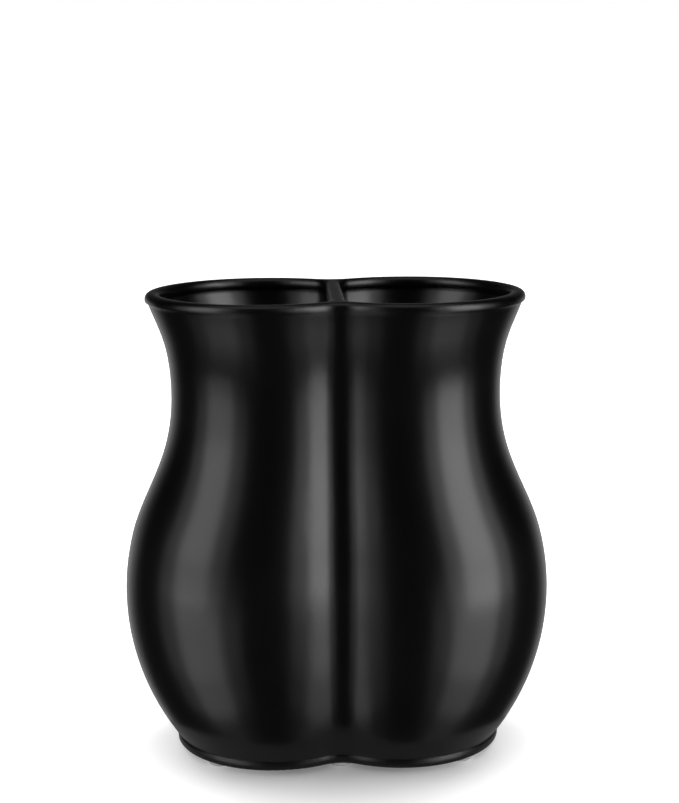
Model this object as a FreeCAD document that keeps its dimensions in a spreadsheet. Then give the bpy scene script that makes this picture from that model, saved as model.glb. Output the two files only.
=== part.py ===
import FreeCAD, Part
import math
import os
import Sketcher

# A two-chambered utensil crock: a waisted double-lobe ceramic body with an integral divider,
# standing on six small adhesive bumpers. Lengths are in millimetres, +Z is up, the front is -Y.

doc = FreeCAD.newDocument("utensil_crock")
vector = FreeCAD.Vector
up = vector(0, 0, 1)
origin = vector(0, 0, 0)

# Driving sizes
SIZES = (
    ("overall_height", 183.0),
    ("belly_half_width", 83.9),
    ("belly_level", 63.9),
    ("neck_half_width", 64.3),
    ("neck_drop", 39.1),
    ("rim_flare", 8.4),
    ("groove_half_width", 6.3),
    ("lip_height", 3.4),
    ("lip_overhang", 1.0),
    ("lip_crown_radius", 2.2),
    ("lip_edge_radius", 0.5),
    ("lip_width", 6.0),
    ("inner_lip_height", 4.0),
    ("inner_lip_radius", 1.9),
    ("wall_thickness", 4.0),
    ("divider_thickness", 5.0),
    ("divider_lip_thickness", 6.0),
    ("chamber_corner_radius", 8.0),
    ("floor_thickness", 7.5),
    ("floor_corner_radius", 6.0),
    ("foot_half_width", 64.7),
    ("foot_height", 3.4),
    ("foot_shoulder_radius", 0.25),
    ("foot_edge_radius", 1.2),
    ("foot_ledge", 0.5),
    ("recess_depth", 1.2),
    ("bumper_diameter", 9.5),
    ("bumper_tip_diameter", 5.6),
    ("bumper_height", 2.2),
    ("bumper_edge_height", 0.7),
    ("bumper_margin", 1.5),
)

# How far the groove's two sides turn from the front, in degrees, at every level
FLANK_ANGLE = 28.0
# How far round from the side the outer bumpers stand, in degrees about a lobe's axis
SIDE_BUMPER_ANGLE = 48.5
# The neck's share of the curve from the belly's widest level to the neck's narrowest
NECK_CURVE_SHARE = 0.467
# The divider's flat side lies at most this share of a chamber's radius from the chamber's axis
FLAT_SHARE = 0.95
# Two places closer than this share of the overall height are the same place
SAME_PLACE_SHARE = 0.0001
# How far the middle of a rounded corner lies from both of its sides, as a share of its radius
CORNER_SHARE = 1 - math.sqrt(0.5)
# How many steps the outlines of the outer wall and of a chamber take from bottom to top
WALL_STEPS = 12
CHAMBER_STEPS = 10

sheet = doc.addObject("Spreadsheet::Sheet", "Sizes")
next_row = 1


def put(alias, text):
    """One row of the sheet: a name and its value or formula."""
    global next_row
    sheet.set(f"A{next_row}", alias)
    sheet.set(f"B{next_row}", text)
    sheet.setAlias(f"B{next_row}", alias)
    next_row += 1


def value(alias):
    """The present value of a named cell."""
    return float(getattr(sheet, alias))


for size_name, size in SIZES:
    put(size_name, str(size))

# The side profile: convex belly arcs below and above the widest level run into concave neck arcs
put("neck_level", "=overall_height - neck_drop")
put("waist_depth", "=belly_half_width - neck_half_width")
put("waist_rise", "=neck_level - belly_level")
put("waist_curve", "=(waist_depth^2 + waist_rise^2) / (2 * waist_depth)")
put("upper_belly_radius", f"=(1 - {NECK_CURVE_SHARE}) * waist_curve")
put("lower_neck_radius", f"={NECK_CURVE_SHARE} * waist_curve")
put("turn_level", f"=belly_level + (1 - {NECK_CURVE_SHARE}) * waist_rise")

# The foot, just proud of the belly's lower end
put("foot_top_level", "=bumper_height + foot_height")
put("belly_inset", "=belly_half_width - foot_half_width + foot_ledge")
put("belly_drop", "=belly_level - foot_top_level")
put("lower_belly_radius", "=(belly_inset^2 + belly_drop^2) / (2 * belly_inset)")

# The lip, proud of the flared neck's upper end
put("lip_level", "=overall_height - lip_height")
put("lip_rise", "=lip_level - neck_level")
put("upper_neck_radius", "=(rim_flare^2 + lip_rise^2) / (2 * rim_flare)")
put("rim_half_width", "=neck_half_width + rim_flare + lip_overhang")

# The groove between the lobes has the same arc at every level
put("flank_share", f"=sin({FLANK_ANGLE} deg)")
put("groove_radius", "=groove_half_width / flank_share")

# The wall's half width at a level, by the profile's arc that the level is on
HALVES = ("lower", "upper")
BELLY_WAY = "belly_half_width - {0} + sqrt({0}^2 - ({1} - belly_level)^2)"
NECK_WAY = "neck_half_width + {0} - sqrt({0}^2 - ({1} - neck_level)^2)"


def put_lobe(name, half_width):
    """Cells for the radius and the axis of the lobes at a level, from the half width there."""
    put(f"{name}_radius", f"=({half_width} - groove_half_width) / (1 + flank_share)")
    put(f"{name}_offset", f"=groove_half_width + flank_share * {name}_radius")


def put_section(name, level_formula):
    """Cells for the wall's level, half width and lobes at a level."""
    level = f"{name}_level"
    put(level, f"={level_formula}")
    lower_belly, upper_belly = (BELLY_WAY.format(f"{half}_belly_radius", level) for half in HALVES)
    lower_neck, upper_neck = (NECK_WAY.format(f"{half}_neck_radius", level) for half in HALVES)
    belly = f"{level} < belly_level ? {lower_belly} : {upper_belly}"
    neck = f"{level} < neck_level ? {lower_neck} : {upper_neck}"
    put(f"{name}_half_width", f"={level} < turn_level ? ({belly}) : ({neck})")
    put_lobe(name, f"{name}_half_width")


def put_chamber(name, level_formula, inset):
    """Cells for a chamber's outline at a level, a wall's thickness and an inset inside the outer wall."""
    put_section(name, level_formula)
    put(f"{name}_inner", f"={name}_radius - wall_thickness - {inset}")
    room = f"{FLAT_SHARE} * ({name}_radius - wall_thickness)"
    put(f"{name}_reach", f"=min({name}_offset - divider_thickness / 2; {room}) - {inset}")
    put(f"{name}_corner", f"=chamber_corner_radius - {inset}")


def steps(low, high, count):
    """Formulas of evenly spaced levels from one named level to another."""
    return [f"{low} + ({high} - {low}) * {number / count}" for number in range(count + 1)]


# The outlines of the outer wall from the foot to the lip, and of the foot and the lip
WALL_NAMES = [f"wall_{number}" for number in range(WALL_STEPS + 1)]
wall_levels = steps("foot_top_level", "lip_level", WALL_STEPS)
for section_name, section_level in zip(WALL_NAMES, wall_levels):
    put_section(section_name, section_level)
put_lobe("foot", "foot_half_width")
put_lobe("rim", "rim_half_width")

# The outlines of a chamber, round its floor's rounded edge and then up to its lip
put("floor_level", "=bumper_height + floor_thickness")
put("chamber_level", "=floor_level + floor_corner_radius")
put("inner_lip_level", "=overall_height - inner_lip_height")
FLOOR_SHARES = ((0, 1), (CORNER_SHARE, CORNER_SHARE), (1, 0))
FLOOR_NAMES = [f"floor_{number}" for number in range(len(FLOOR_SHARES))]
for section_name, (rise_share, inset_share) in zip(FLOOR_NAMES, FLOOR_SHARES):
    section_level = f"floor_level + floor_corner_radius * {rise_share}"
    put_chamber(section_name, section_level, f"floor_corner_radius * {inset_share}")
CHAMBER_NAMES = [f"chamber_{number}" for number in range(CHAMBER_STEPS + 1)]
chamber_levels = steps("chamber_level", "inner_lip_level", CHAMBER_STEPS)
for section_name, section_level in zip(CHAMBER_NAMES, chamber_levels):
    put_chamber(section_name, section_level, 0)
put("mouth_inner", "=rim_radius - lip_width")
put("mouth_reach", f"=min(rim_offset - divider_lip_thickness / 2; {FLAT_SHARE} * mouth_inner)")
put("mouth_corner_radius", "=chamber_corner_radius - (divider_lip_thickness - divider_thickness) / 2")

# The shallow recess inside the foot ring
put("foot_ring_width", "=bumper_diameter + 2 * bumper_margin")
put("recess_radius", "=foot_radius - foot_ring_width")
put("recess_groove_radius", "=groove_radius + foot_ring_width")

# The bumpers, midway across the foot ring
put("bumper_ring_radius", "=foot_radius - foot_ring_width / 2")
put("side_bumper_across", f"=foot_offset + bumper_ring_radius * cos({SIDE_BUMPER_ANGLE} deg)")
put("side_bumper_row", f"=bumper_ring_radius * sin({SIDE_BUMPER_ANGLE} deg)")
put("foot_groove_axis", "=sqrt((foot_radius + groove_radius)^2 - foot_offset^2)")
put("centre_bumper_row", "=foot_groove_axis - groove_radius - foot_ring_width / 2")
put("bumper_radius", "=bumper_diameter / 2")
put("bumper_tip_radius", "=bumper_tip_diameter / 2")
put("bumper_edge_level", "=bumper_height - bumper_edge_height")
doc.recompute()

# The points of a sketch's lines and arcs, and its own axes, as constraints number them
START, END, CENTRE = range(1, 4)
X_AXIS, Y_AXIS = range(-1, -3, -1)


def new_body(label):
    """An empty body whose label is its node name."""
    body = doc.addObject("PartDesign::Body", label)
    body.Label = label
    return body


def plane(body, role):
    """One of a body's own origin planes."""
    return [item for item in body.Origin.OriginFeatures if item.Role == role][0]


def new_sketch(body, name, role, level=None):
    """A sketch on an origin plane, lifted to a named level if one is given."""
    sketch = body.newObject("Sketcher::SketchObject", name)
    sketch.AttachmentSupport = [(plane(body, role), "")]
    sketch.MapMode = "FlatFace"
    if level:
        sketch.setExpression("AttachmentOffset.Base.z", f"Sizes.{level}")
    return sketch


def hold(sketch, kind, *places):
    """A constraint without a size."""
    sketch.addConstraint(Sketcher.Constraint(kind, *places))


def drive(sketch, kind, places, size, formula):
    """A driving dimension bound to a formula of named cells."""
    index = sketch.addConstraint(Sketcher.Constraint(kind, *places, size))
    sketch.setExpression(f"Constraints[{index}]", formula)


def drive_place(sketch, kind, geometry, point, size, formula):
    """A point's distance from the sketch's origin, along the first or second axis."""
    drive(sketch, kind, (X_AXIS, START, geometry, point), size, formula)


def line(sketch, first, second):
    """A straight side."""
    return sketch.addGeometry(Part.LineSegment(first, second), False)


def arc(sketch, centre, first, second, convex=True):
    """An arc from one point to another, and the names of its first and second ends."""
    radius = (first - centre).Length
    low, high = (first, second) if convex else (second, first)
    low_angle = math.atan2(low.y - centre.y, low.x - centre.x)
    high_angle = math.atan2(high.y - centre.y, high.x - centre.x)
    if high_angle <= low_angle:
        high_angle += 2 * math.pi
    circle = Part.Circle(centre, up, radius)
    geometry = sketch.addGeometry(Part.ArcOfCircle(circle, low_angle, high_angle), False)
    return (geometry, START, END) if convex else (geometry, END, START)


def between(first, second, share):
    """The point some way from one point to another."""
    return first + (second - first) * share


def smooth(sketch, chain):
    """Sides and arcs that run into each other without a corner."""
    for first, second in zip(chain, chain[1:]):
        hold(sketch, "Tangent", first[0], first[2], second[0], second[1])


def mirrored(body, name, features, role):
    """The same features on the other side of an origin plane."""
    feature = body.newObject("PartDesign::Mirrored", name)
    feature.Originals = features
    feature.MirrorPlane = (plane(body, role), [""])
    body.Tip = feature
    doc.recompute()
    return feature


def extrude(body, kind, name, sketch, length, reverse=False):
    """A pad or pocket of a sketch whose length is a named cell."""
    feature = body.newObject(kind, name)
    feature.Profile = sketch
    feature.Type = "Length"
    feature.Reversed = reverse
    feature.setExpression("Length", f"Sizes.{length}")
    return feature


def lobe_outline(body, name, level, offset, radius, groove="groove_radius"):
    """A closed outline of two round lobes, each in two arcs, joined by two tangent groove arcs."""
    sketch = new_sketch(body, name, "XY_Plane", level)
    across, big, small = value(offset), value(radius), value(groove)
    reach = math.sqrt((big + small) ** 2 - across ** 2)
    share = big / (big + small)
    right, left = vector(across, 0, 0), vector(-across, 0, 0)
    back, front = vector(0, reach, 0), vector(0, -reach, 0)
    right_end, left_end = vector(across + big, 0, 0), vector(-across - big, 0, 0)
    lobes = (
        arc(sketch, right, between(right, front, share), right_end),
        arc(sketch, right, right_end, between(right, back, share)),
        arc(sketch, left, between(left, back, share), left_end),
        arc(sketch, left, left_end, between(left, front, share)),
    )
    back_groove = arc(sketch, back, between(right, back, share), between(left, back, share), False)
    front_groove = arc(sketch, front, between(left, front, share), between(right, front, share), False)
    smooth(sketch, (*lobes[:2], back_groove, *lobes[2:], front_groove, lobes[0]))
    for first, second in (lobes[:2], lobes[2:]):
        hold(sketch, "PointOnObject", first[0], first[2], X_AXIS)
        hold(sketch, "PointOnObject", first[0], CENTRE, X_AXIS)
        hold(sketch, "Equal", first[0], second[0])
    hold(sketch, "Equal", lobes[0][0], lobes[2][0])
    hold(sketch, "Equal", back_groove[0], front_groove[0])
    hold(sketch, "PointOnObject", back_groove[0], CENTRE, Y_AXIS)
    drive_place(sketch, "DistanceX", lobes[0][0], CENTRE, across, f"Sizes.{offset}")
    drive(sketch, "Radius", (lobes[0][0],), big, f"Sizes.{radius}")
    drive(sketch, "Radius", (back_groove[0],), small, f"Sizes.{groove}")
    return sketch


def chamber_outline(body, name, level, offset, radius, reach, corner):
    """A closed outline of one chamber: a round wall, a flat side and two rounded corners."""
    sketch = new_sketch(body, name, "XY_Plane", level)
    across, big = value(offset), value(radius)
    inward, small = value(reach), value(corner)
    rise = math.sqrt((big - small) ** 2 - (inward - small) ** 2)
    share = big / (big - small)
    axis = vector(across, 0, 0)
    back, front = vector(across - inward + small, rise, 0), vector(across - inward + small, -rise, 0)
    side_back, side_front = vector(across - inward, rise, 0), vector(across - inward, -rise, 0)
    wall = arc(sketch, axis, between(axis, front, share), between(axis, back, share))
    back_corner = arc(sketch, back, between(axis, back, share), side_back)
    side = line(sketch, side_back, side_front)
    front_corner = arc(sketch, front, side_front, between(axis, front, share))
    smooth(sketch, (wall, back_corner, (side, START, END), front_corner, wall))
    hold(sketch, "PointOnObject", wall[0], CENTRE, X_AXIS)
    hold(sketch, "Vertical", side)
    hold(sketch, "Equal", back_corner[0], front_corner[0])
    drive_place(sketch, "DistanceX", wall[0], CENTRE, across, f"Sizes.{offset}")
    drive(sketch, "Radius", (wall[0],), big, f"Sizes.{radius}")
    drive(sketch, "DistanceX", (side, START, wall[0], CENTRE), inward, f"Sizes.{reach}")
    drive(sketch, "Radius", (back_corner[0],), small, f"Sizes.{corner}")
    return sketch


def loft(body, name, sketches):
    """A smooth form through level outlines, from the lowest to the highest."""
    feature = body.newObject("PartDesign::AdditiveLoft", name)
    feature.Profile = sketches[0]
    feature.Sections = sketches[1:]
    doc.recompute()
    return feature


def edge_names(shape, wanted):
    """The names of some of a shape's edges."""
    names = []
    for number, edge in enumerate(shape.Edges, 1):
        if any(edge.isSame(other) for other in wanted):
            names.append(f"Edge{number}")
    return names


def same_place(first, second):
    """Whether two lengths are the same within the model's tolerance."""
    return abs(first - second) < value("overall_height") * SAME_PLACE_SHARE


def fillet(body, name, edges, radius):
    """Edges of the body so far, rounded to a named radius."""
    base = body.Tip
    feature = body.newObject("PartDesign::Fillet", name)
    feature.Base = (base, edge_names(base.Shape, edges))
    feature.setExpression("Radius", f"Sizes.{radius}")
    doc.recompute()
    return feature


def edges_at(body, level, outer):
    """The edges of the body's flat face at a level: those of its outline, or those inside it."""
    edges = []
    for face in body.Tip.Shape.Faces:
        if all(same_place(vertex.Z, level) for vertex in face.Vertexes):
            for wire in face.Wires:
                if wire.isSame(face.OuterWire) == outer:
                    edges.extend(wire.Edges)
    return edges


def chamber_space(label, turn):
    """The space inside one chamber as a solid, rounded at its floor and flat beside the divider."""
    body = new_body(label)
    for part, names in (("space", CHAMBER_NAMES), ("floor", FLOOR_NAMES)):
        sketches = []
        for name in names:
            cells = [f"{name}_{ending}" for ending in ("level", "offset", "inner", "reach", "corner")]
            sketches.append(chamber_outline(body, f"{label}_{name}", *cells))
        loft(body, f"{label}_{part}", sketches)
    body.Placement = FreeCAD.Placement(origin, FreeCAD.Rotation(up, turn))
    return body


# The ceramic body's solid form: the wall, with the foot below it and the lip above
crock = new_body("crock_body")
wall_sketches = []
for section_name in WALL_NAMES:
    wall_cells = [f"{section_name}_{ending}" for ending in ("level", "offset", "radius")]
    wall_sketches.append(lobe_outline(crock, f"{section_name}_outline", *wall_cells))
loft(crock, "wall", wall_sketches)
wall_volume = crock.Shape.Volume
foot_sketch = lobe_outline(crock, "foot_outline", "bumper_height", "foot_offset", "foot_radius")
extrude(crock, "PartDesign::Pad", "foot", foot_sketch, "foot_height")
lip_sketch = lobe_outline(crock, "lip_outline", "lip_level", "rim_offset", "rim_radius")
extrude(crock, "PartDesign::Pad", "lip", lip_sketch, "lip_height")
doc.recompute()
for edge_name, level_name, outer, radius_name in (
    ("lip_crown", "overall_height", True, "lip_crown_radius"),
    ("lip_edge", "lip_level", True, "lip_edge_radius"),
    ("foot_shoulder", "foot_top_level", True, "foot_shoulder_radius"),
    ("foot_edge", "bumper_height", True, "foot_edge_radius"),
):
    fillet(crock, edge_name, edges_at(crock, value(level_name), outer), radius_name)
solid_volume = crock.Shape.Volume

# The two chambers with the divider left between them, and their slightly narrower mouths
chambers = crock.newObject("PartDesign::Boolean", "chambers")
chambers.Type = "Cut"
chambers.setObjects([chamber_space("right_chamber", 0), chamber_space("left_chamber", 180)])
doc.recompute()
chambered_volume = crock.Shape.Volume
mouth_cells = ("overall_height", "rim_offset", "mouth_inner", "mouth_reach", "mouth_corner_radius")
mouth_sketch = chamber_outline(crock, "mouth_outline", *mouth_cells)
mouth = extrude(crock, "PartDesign::Pocket", "mouth", mouth_sketch, "inner_lip_height")
mirrored(crock, "other_mouth", [mouth], "YZ_Plane")
open_volume = crock.Shape.Volume

# The shallow recess inside the foot ring
recess_cells = ("bumper_height", "foot_offset", "recess_radius", "recess_groove_radius")
recess_sketch = lobe_outline(crock, "recess_outline", *recess_cells)
extrude(crock, "PartDesign::Pocket", "recess", recess_sketch, "recess_depth", True)
doc.recompute()
recessed_volume = crock.Shape.Volume
fillet(crock, "inner_lip", edges_at(crock, value("overall_height"), False), "inner_lip_radius")

# Six adhesive bumpers, each a low dome with its wide side up
BUMPERS = (
    ("bumper_front_left", "-Sizes.side_bumper_across", "-Sizes.side_bumper_row"),
    ("bumper_front_centre", None, "-Sizes.centre_bumper_row"),
    ("bumper_front_right", "Sizes.side_bumper_across", "-Sizes.side_bumper_row"),
    ("bumper_back_left", "-Sizes.side_bumper_across", "Sizes.side_bumper_row"),
    ("bumper_back_centre", None, "Sizes.centre_bumper_row"),
    ("bumper_back_right", "Sizes.side_bumper_across", "Sizes.side_bumper_row"),
)


def bumper(label, across, along):
    """A domed disc turned about its own upright axis and set under the foot."""
    body = new_body(label)
    sketch = new_sketch(body, f"{label}_profile", "XZ_Plane")
    tip, rim = value("bumper_tip_radius"), value("bumper_radius")
    edge_level, height = value("bumper_edge_level"), value("bumper_height")
    dome_radius = ((rim - tip) ** 2 + edge_level ** 2) / (2 * edge_level)
    base = line(sketch, origin, vector(tip, 0, 0))
    dome = arc(sketch, vector(tip, dome_radius, 0), vector(tip, 0, 0), vector(rim, edge_level, 0))
    side = line(sketch, vector(rim, edge_level, 0), vector(rim, height, 0))
    seat = line(sketch, vector(rim, height, 0), vector(0, height, 0))
    middle = line(sketch, vector(0, height, 0), origin)
    hold(sketch, "Coincident", base, START, X_AXIS, START)
    hold(sketch, "Tangent", base, END, dome[0], dome[1])
    hold(sketch, "Coincident", dome[0], dome[2], side, START)
    hold(sketch, "Coincident", side, END, seat, START)
    hold(sketch, "Coincident", seat, END, middle, START)
    hold(sketch, "Coincident", middle, END, base, START)
    hold(sketch, "Horizontal", base)
    hold(sketch, "Vertical", side)
    hold(sketch, "Horizontal", seat)
    hold(sketch, "Vertical", middle)
    drive_place(sketch, "DistanceX", base, END, tip, "Sizes.bumper_tip_radius")
    drive_place(sketch, "DistanceX", side, END, rim, "Sizes.bumper_radius")
    drive_place(sketch, "DistanceY", side, START, edge_level, "Sizes.bumper_edge_level")
    drive_place(sketch, "DistanceY", side, END, height, "Sizes.bumper_height")
    feature = body.newObject("PartDesign::Revolution", f"{label}_dome")
    feature.Profile = sketch
    feature.ReferenceAxis = (sketch, ["V_Axis"])
    feature.Angle = 360
    if across:
        body.setExpression("Placement.Base.x", across)
    body.setExpression("Placement.Base.y", along)
    return body


nodes = [crock] + [bumper(*row) for row in BUMPERS]
doc.recompute()

# Checks before writing
volumes = (wall_volume, solid_volume, chambered_volume, open_volume, recessed_volume, crock.Shape.Volume)
removals = volumes[1:]
if wall_volume >= solid_volume or any(after >= before for before, after in zip(removals, removals[1:])):
    raise RuntimeError("a step added or removed the wrong volume")
for item in doc.Objects:
    if "Invalid" in item.State or "Error" in item.State:
        raise RuntimeError(f"{item.Name} did not build")
    if item.TypeId == "Sketcher::SketchObject" and not item.FullyConstrained:
        raise RuntimeError(f"{item.Name} is not fully constrained")
for node in nodes:
    if node.Shape.isNull() or not node.Shape.isValid() or len(node.Shape.Solids) != 1:
        raise RuntimeError(f"{node.Label} is not one valid solid")

os.makedirs("parts", exist_ok=True)
for node in nodes:
    node.Shape.exportStep(f"parts/{node.Label}.step")
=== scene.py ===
import math
import bpy
from mathutils import Matrix, Vector

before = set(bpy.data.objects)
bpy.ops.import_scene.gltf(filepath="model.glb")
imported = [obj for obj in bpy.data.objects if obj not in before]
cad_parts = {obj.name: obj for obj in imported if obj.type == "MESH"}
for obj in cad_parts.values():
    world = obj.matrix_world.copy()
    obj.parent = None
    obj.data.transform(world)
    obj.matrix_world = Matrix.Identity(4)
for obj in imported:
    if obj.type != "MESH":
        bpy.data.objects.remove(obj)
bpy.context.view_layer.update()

# A satin black utensil crock on clear bumpers, on a white studio floor. Lengths are in metres.

scene = bpy.context.scene
scene.view_settings.view_transform = "Standard"

# The camera, as the photograph was taken: a little left of the front and above the rim
CAMERA_PLACE = Vector((-0.0232, -0.6575, 0.2646))
CAMERA_TARGET = Vector((0.0014, 0.0, 0.1390))
CAMERA_ROLL = math.radians(-0.33)
FOCAL_PIXELS = 1706.7
PHOTO_WIDTH_PIXELS = 679
SENSOR_WIDTH_MM = 36.0

# The sides of the camera where soft boxes stand: name, degrees from the front
SIDES = (("left", -60.0), ("right", 55.5))
# Their levels: name, share of the degrees, distance, lowest and highest edge, radiance left and right
LEVELS = (
    ("upper", 1.0, 1.0, 0.15, 1.3, (2.3, 4.0)),
    ("lower", 1.0, 1.0, -0.14, 0.15, (1.6, 3.4)),
    ("near", 0.86, 0.2, -0.07, 0.035, (0.58, 0.7)),
    ("near_middle", 0.87, 0.205, -0.07, 0.06, (0.45, 0.55)),
    ("near_high", 0.88, 0.21, -0.07, 0.085, (0.35, 0.42)),
    ("shallow", 0.86, 0.2, -0.16, -0.07, (1.0, 0.88)),
    ("deep", 0.86, 0.2, -0.36, -0.16, (0.17, 0.24)),
    ("deepest", 0.86, 0.2, -0.9, -0.36, (0.09, 0.1)),
)
# The two layers of each box: name, share of the distance, degrees across, share of the radiance
LAYERS = (
    ("wide", 1.0, 62.0, 0.26),
    ("core", 0.97, 31.0, 0.74),
)
# The box overhead
OVERHEAD_HEIGHT = 1.4
OVERHEAD_SIZE = 1.2
OVERHEAD_RADIANCE = 0.5
# The boxes that light the floor and don't show in the glaze: name, place, size, radiance
FLOOR_BOXES = (
    ("left_floor_box", (-0.65, 0.76, 0.75), 0.6, 4.4),
    ("right_floor_box", (0.65, 0.76, 0.75), 0.6, 4.4),
    ("top_floor_box", (0.0, 0.05, 1.3), 0.9, 1.7),
)

# The surround's level to the camera, and its light from all sides
SURROUND = 1.0
AMBIENT = 0.35
# The backdrop that shows in the glaze: its levels by how far back a ray goes
BACKDROP_BACK = ((0.58, 0.02), (0.70, 0.20), (0.80, 0.40), (0.90, 0.57))
# What is left of them by how far up it goes, from straight down at 0 to straight up at 1
BACKDROP_UP = ((0.44, 1.0), (0.56, 0.06))
STRAIGHT_DOWN = -1.0

# The detail of a noise, and the part of its range that runs from the first colour to the second
NOISE_DETAIL = 3.0
NOISE_SPAN = (0.3, 0.7)

# The glaze: its tone and its roughness, each with the features a metre of its noise
GLAZE_COLOURS = ((0.0008, 0.0008, 0.0009, 1.0), (0.0018, 0.0017, 0.0017, 1.0))
GLAZE_CLOUDS = 45.0
GLAZE_ROUGHNESS = (0.22, 0.25)
GLAZE_SATIN = 700.0
GLAZE_IOR = 1.5
# Its ripple and its orange peel: features a metre, detail, strength, height
GLAZE_RIPPLE = (38.0, 1.0, 0.10, 0.001)
GLAZE_PEEL = (1500.0, NOISE_DETAIL, 0.02, 0.0002)
# How far it flows over an edge and softens it
GLAZE_FLOW = 0.0022
GLAZE_FLOW_SAMPLES = 6

# The bumpers' plastic: its tone with the features a metre of its noise, and its grain like the ripple
BUMPER_COLOURS = ((0.82, 0.83, 0.83, 1.0), (0.9, 0.91, 0.91, 1.0))
BUMPER_MILK = 350.0
BUMPER_GRAIN = (900.0, NOISE_DETAIL, 0.05, 0.0002)
BUMPER_ROUGHNESS = 0.22
BUMPER_TRANSMISSION = 0.3
BUMPER_IOR = 1.47

# The floor, just under the bumpers: its paint with the features a metre of its noise
FLOOR_REACH = 12.0
FLOOR_GAP = 0.0001
FLOOR_LEVELS = (0.89, 0.91)
FLOOR_MOTTLE = 6.0
FLOOR_ROUGHNESS = 0.9
# Its painted glow to the camera, by the distance from the middle: dim close to the crock, as a painted
# shadow round its foot, and white further out
FLOOR_PAINTED_GLOW = ((0.04, 0.13), (0.055, 0.26), (0.068, 0.44), (0.085, 0.58), (0.14, 0.75), (0.3, 1.0))
# Its part by the foot that shows in the glaze: a half round about each lobe's middle, painted darker
# than the floor as painted shade
FOOT_SHADED_LEVELS = (0.33, 0.36)
FOOT_LOBE = 0.026
FOOT_REACH = 0.050
FOOT_CORNERS = 64


def add(tree, kind, **values):
    """A node of a tree, with some of its inputs or properties set by name."""
    node = tree.nodes.new(kind)
    for name, setting in values.items():
        if name in node.inputs:
            node.inputs[name].default_value = setting
        else:
            setattr(node, name, setting)
    return node


def new_material(name):
    """A material with its node tree, its principled shader and the object's coordinates."""
    material = bpy.data.materials.new(name)
    material.use_nodes = True
    tree = material.node_tree
    place = add(tree, "ShaderNodeTexCoord").outputs["Object"]
    return material, tree, tree.nodes["Principled BSDF"], place


def grey(level):
    """A neutral colour."""
    return (level, level, level, 1.0)


def ramp(tree, source, stops):
    """A colour ramp fed by a factor."""
    node = tree.nodes.new("ShaderNodeValToRGB")
    elements = node.color_ramp.elements
    for number, (position, colour) in enumerate(stops):
        element = elements[number] if number < len(elements) else elements.new(position)
        element.position = position
        element.color = colour
    tree.links.new(source, node.inputs["Fac"])
    return node.outputs["Color"]


def grey_ramp(tree, source, stops):
    """A ramp of neutral colours, given as levels."""
    return ramp(tree, source, [(position, grey(level)) for position, level in stops])


def noise(tree, place, features, detail=NOISE_DETAIL):
    """A noise factor at so many features a metre."""
    node = add(tree, "ShaderNodeTexNoise", Scale=features, Detail=detail)
    tree.links.new(place, node.inputs["Vector"])
    return node.outputs["Fac"]


def mottle(tree, place, features, colours):
    """A colour that wanders between two others with a noise."""
    return ramp(tree, noise(tree, place, features), zip(NOISE_SPAN, colours))


def bump(tree, place, shape, below=None):
    """A bump made by a noise, over another normal if one is given."""
    features, detail, strength, height = shape
    rise = noise(tree, place, features, detail)
    node = add(tree, "ShaderNodeBump", Strength=strength, Distance=height)
    tree.links.new(rise, node.inputs["Height"])
    if below:
        tree.links.new(below, node.inputs["Normal"])
    return node.outputs["Normal"]


def mix(tree, factor, first, second):
    """The first colour, or the second where the factor is 1, or their product if there is no factor."""
    node = add(tree, "ShaderNodeMix", data_type="RGBA", blend_type="MIX" if factor else "MULTIPLY")
    node.inputs["Factor"].default_value = 1.0
    if factor:
        tree.links.new(factor, node.inputs["Factor"])
    for name, source in (("A", first), ("B", second)):
        socket = [item for item in node.inputs if item.name == name and item.type == "RGBA"][0]
        if isinstance(source, tuple):
            socket.default_value = source
        else:
            tree.links.new(source, socket)
    return [item for item in node.outputs if item.type == "RGBA"][0]


def glaze():
    """Satin black glaze: a faint cloudy tone, a slow ripple, a fine orange peel and softened edges."""
    material, tree, shader, place = new_material("satin_black_glaze")
    tone = mottle(tree, place, GLAZE_CLOUDS, GLAZE_COLOURS)
    tree.links.new(tone, shader.inputs["Base Color"])
    satin = mottle(tree, place, GLAZE_SATIN, map(grey, GLAZE_ROUGHNESS))
    tree.links.new(satin, shader.inputs["Roughness"])
    soft_edges = add(tree, "ShaderNodeBevel", samples=GLAZE_FLOW_SAMPLES, Radius=GLAZE_FLOW)
    ripple = bump(tree, place, GLAZE_RIPPLE, soft_edges.outputs["Normal"])
    tree.links.new(bump(tree, place, GLAZE_PEEL, ripple), shader.inputs["Normal"])
    shader.inputs["IOR"].default_value = GLAZE_IOR
    return material


def clear_plastic():
    """Clear soft plastic, slightly milky."""
    material, tree, shader, place = new_material("clear_bumper")
    milk = mottle(tree, place, BUMPER_MILK, BUMPER_COLOURS)
    tree.links.new(milk, shader.inputs["Base Color"])
    tree.links.new(bump(tree, place, BUMPER_GRAIN), shader.inputs["Normal"])
    shader.inputs["Roughness"].default_value = BUMPER_ROUGHNESS
    shader.inputs["Transmission Weight"].default_value = BUMPER_TRANSMISSION
    shader.inputs["IOR"].default_value = BUMPER_IOR
    return material


def dress(node_name, material):
    """Gives a CAD node its material."""
    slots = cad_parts[node_name].data.materials
    slots.clear()
    slots.append(material)


def floor_material(name, levels):
    """Matt paint with a painted glow to the camera that rises to white with the distance from the
    crock, leaving painted shadow close to it.
    """
    material, tree, shader, place = new_material(name)
    paint = mottle(tree, place, FLOOR_MOTTLE, map(grey, levels))
    tree.links.new(paint, shader.inputs["Base Color"])
    shader.inputs["Roughness"].default_value = FLOOR_ROUGHNESS
    shader.inputs["Specular IOR Level"].default_value = 0.0
    # The floor's painted glow to the camera: dim by the crock as painted shadow, white further out
    away = add(tree, "ShaderNodeVectorMath", operation="LENGTH")
    tree.links.new(place, away.inputs[0])
    painted_glow = grey_ramp(tree, away.outputs["Value"], FLOOR_PAINTED_GLOW)
    tree.links.new(painted_glow, shader.inputs["Emission Color"])
    seen = add(tree, "ShaderNodeLightPath").outputs["Is Camera Ray"]
    tree.links.new(seen, shader.inputs["Emission Strength"])
    return material


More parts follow.
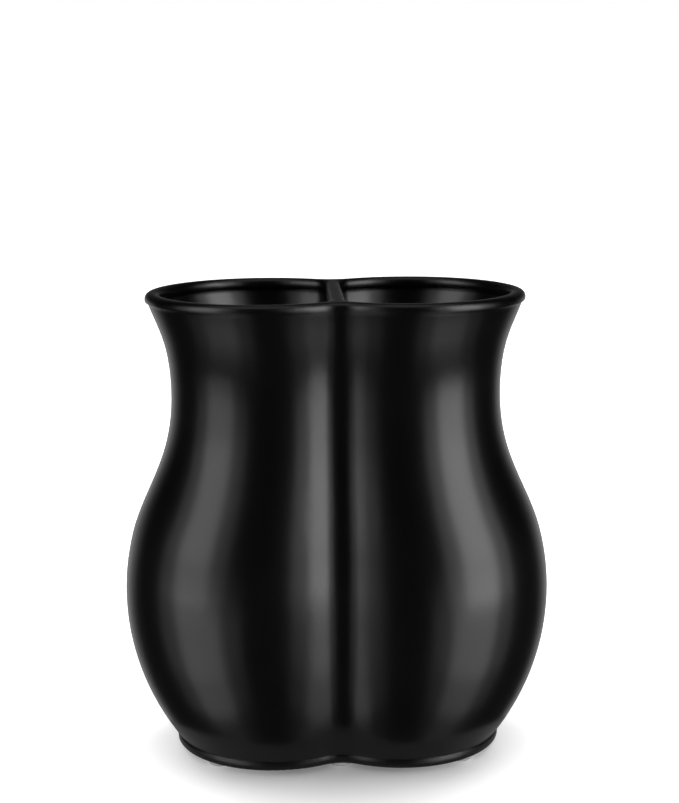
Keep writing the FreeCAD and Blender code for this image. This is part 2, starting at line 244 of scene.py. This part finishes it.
def sheet(name, outline, material):
    """A flat staged sheet at the floor's level that casts no shadow."""
    corners = [(across, along, -FLOOR_GAP) for across, along in outline]
    mesh = bpy.data.meshes.new(name)
    mesh.from_pydata(corners, [], [range(len(corners))])
    mesh.materials.append(material)
    plane = bpy.data.objects.new(name, mesh)
    plane.visible_shadow = False
    scene.collection.objects.link(plane)
    return plane


def floor():
    """A plain white floor that takes the crock's soft shadow, cast by the lamps and deepened close to
    the crock with painted shadow, and doesn't show in the glaze.
    """
    reach = FLOOR_REACH
    corners = ((-reach, -reach), (reach, -reach), (reach, reach), (-reach, reach))
    sheet("floor", corners, floor_material("white_floor", FLOOR_LEVELS)).visible_glossy = False


def floor_by_foot():
    """The floor's part by the foot, painted darker as painted shade, which shows in the glaze alone."""
    outline = []
    for corner in range(FOOT_CORNERS):
        turn = math.tau * corner / FOOT_CORNERS
        across = math.copysign(FOOT_LOBE, math.cos(turn)) + FOOT_REACH * math.cos(turn)
        outline.append((across, FOOT_REACH * math.sin(turn)))
    patch = sheet("floor_by_foot", outline, floor_material("floor_by_foot", FOOT_SHADED_LEVELS))
    patch.visible_camera = False
    patch.visible_diffuse = False
    patch.visible_transmission = False


def soft_box(name, place, target, width, height, radiance):
    """A rectangular soft light that faces a point, as bright as a surface of that radiance."""
    data = bpy.data.lights.new(name, "AREA")
    data.shape = "RECTANGLE"
    data.size = width
    data.size_y = height
    data.energy = radiance * math.pi * width * height
    lamp = bpy.data.objects.new(name, data)
    lamp.location = place
    lamp.rotation_euler = (target - place).to_track_quat("-Z", "Y").to_euler()
    lamp.visible_camera = False
    scene.collection.objects.link(lamp)
    return lamp


def side_boxes():
    """The soft boxes at both sides of the camera, each a wide pale box with a bright core before it."""
    for number, (side, azimuth) in enumerate(SIDES):
        for level, angle_share, distance, low, high, radiances in LEVELS:
            angle = math.radians(azimuth * angle_share)
            way = Vector((math.sin(angle), -math.cos(angle), 0.0))
            middle = Vector((0.0, 0.0, (low + high) / 2))
            for layer, distance_share, across, share in LAYERS:
                reach = distance * distance_share
                width = 2 * reach * math.tan(math.radians(across) / 2)
                name = f"{side}_{level}_{layer}_box"
                radiance = radiances[number] * share
                box = soft_box(name, middle + reach * way, middle, width, high - low, radiance)
                # A box that is all above the floor only shines in the glaze
                box.visible_diffuse = low < 0.0


def other_boxes():
    """The box overhead and the boxes that light the floor."""
    overhead = Vector((0.0, 0.0, OVERHEAD_HEIGHT))
    soft_box("overhead_box", overhead, Vector(), OVERHEAD_SIZE, OVERHEAD_SIZE, OVERHEAD_RADIANCE)
    for name, place, size, radiance in FLOOR_BOXES:
        soft_box(name, Vector(place), Vector(), size, size, radiance).visible_glossy = False


def surround():
    """White to the camera, a low backdrop to the glaze, and an even light to all other rays."""
    world = bpy.data.worlds.new("studio")
    world.use_nodes = True
    tree = world.node_tree
    way = add(tree, "ShaderNodeTexCoord").outputs["Generated"]
    split = add(tree, "ShaderNodeSeparateXYZ")
    tree.links.new(way, split.inputs["Vector"])
    back = grey_ramp(tree, split.outputs["Y"], BACKDROP_BACK)
    rise = add(tree, "ShaderNodeMapRange")
    rise.inputs["From Min"].default_value = STRAIGHT_DOWN
    tree.links.new(split.outputs["Z"], rise.inputs["Value"])
    left_over = grey_ramp(tree, rise.outputs["Result"], BACKDROP_UP)
    backdrop = mix(tree, None, back, left_over)
    path = add(tree, "ShaderNodeLightPath")
    shine = mix(tree, path.outputs["Is Glossy Ray"], grey(AMBIENT), backdrop)
    seen = mix(tree, path.outputs["Is Camera Ray"], shine, grey(SURROUND))
    tree.links.new(seen, tree.nodes["Background"].inputs["Color"])
    scene.world = world


def camera():
    """The photograph's camera."""
    data = bpy.data.cameras.new("camera")
    data.sensor_fit = "HORIZONTAL"
    data.sensor_width = SENSOR_WIDTH_MM
    data.lens = FOCAL_PIXELS / PHOTO_WIDTH_PIXELS * SENSOR_WIDTH_MM
    forward = (CAMERA_TARGET - CAMERA_PLACE).normalized()
    right = forward.cross(Vector((0.0, 0.0, 1.0))).normalized()
    up = right.cross(forward)
    turned_right = right * math.cos(CAMERA_ROLL) + up * math.sin(CAMERA_ROLL)
    turned_up = up * math.cos(CAMERA_ROLL) - right * math.sin(CAMERA_ROLL)
    axes = Matrix((turned_right, turned_up, -forward)).transposed().to_4x4()
    eye = bpy.data.objects.new("camera", data)
    eye.matrix_world = Matrix.Translation(CAMERA_PLACE) @ axes
    scene.collection.objects.link(eye)
    scene.camera = eye


dress("crock_body", glaze())
bumper_plastic = clear_plastic()
for node_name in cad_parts:
    if node_name.startswith("bumper"):
        dress(node_name, bumper_plastic)
floor()
floor_by_foot()
side_boxes()
other_boxes()
surround()
camera()
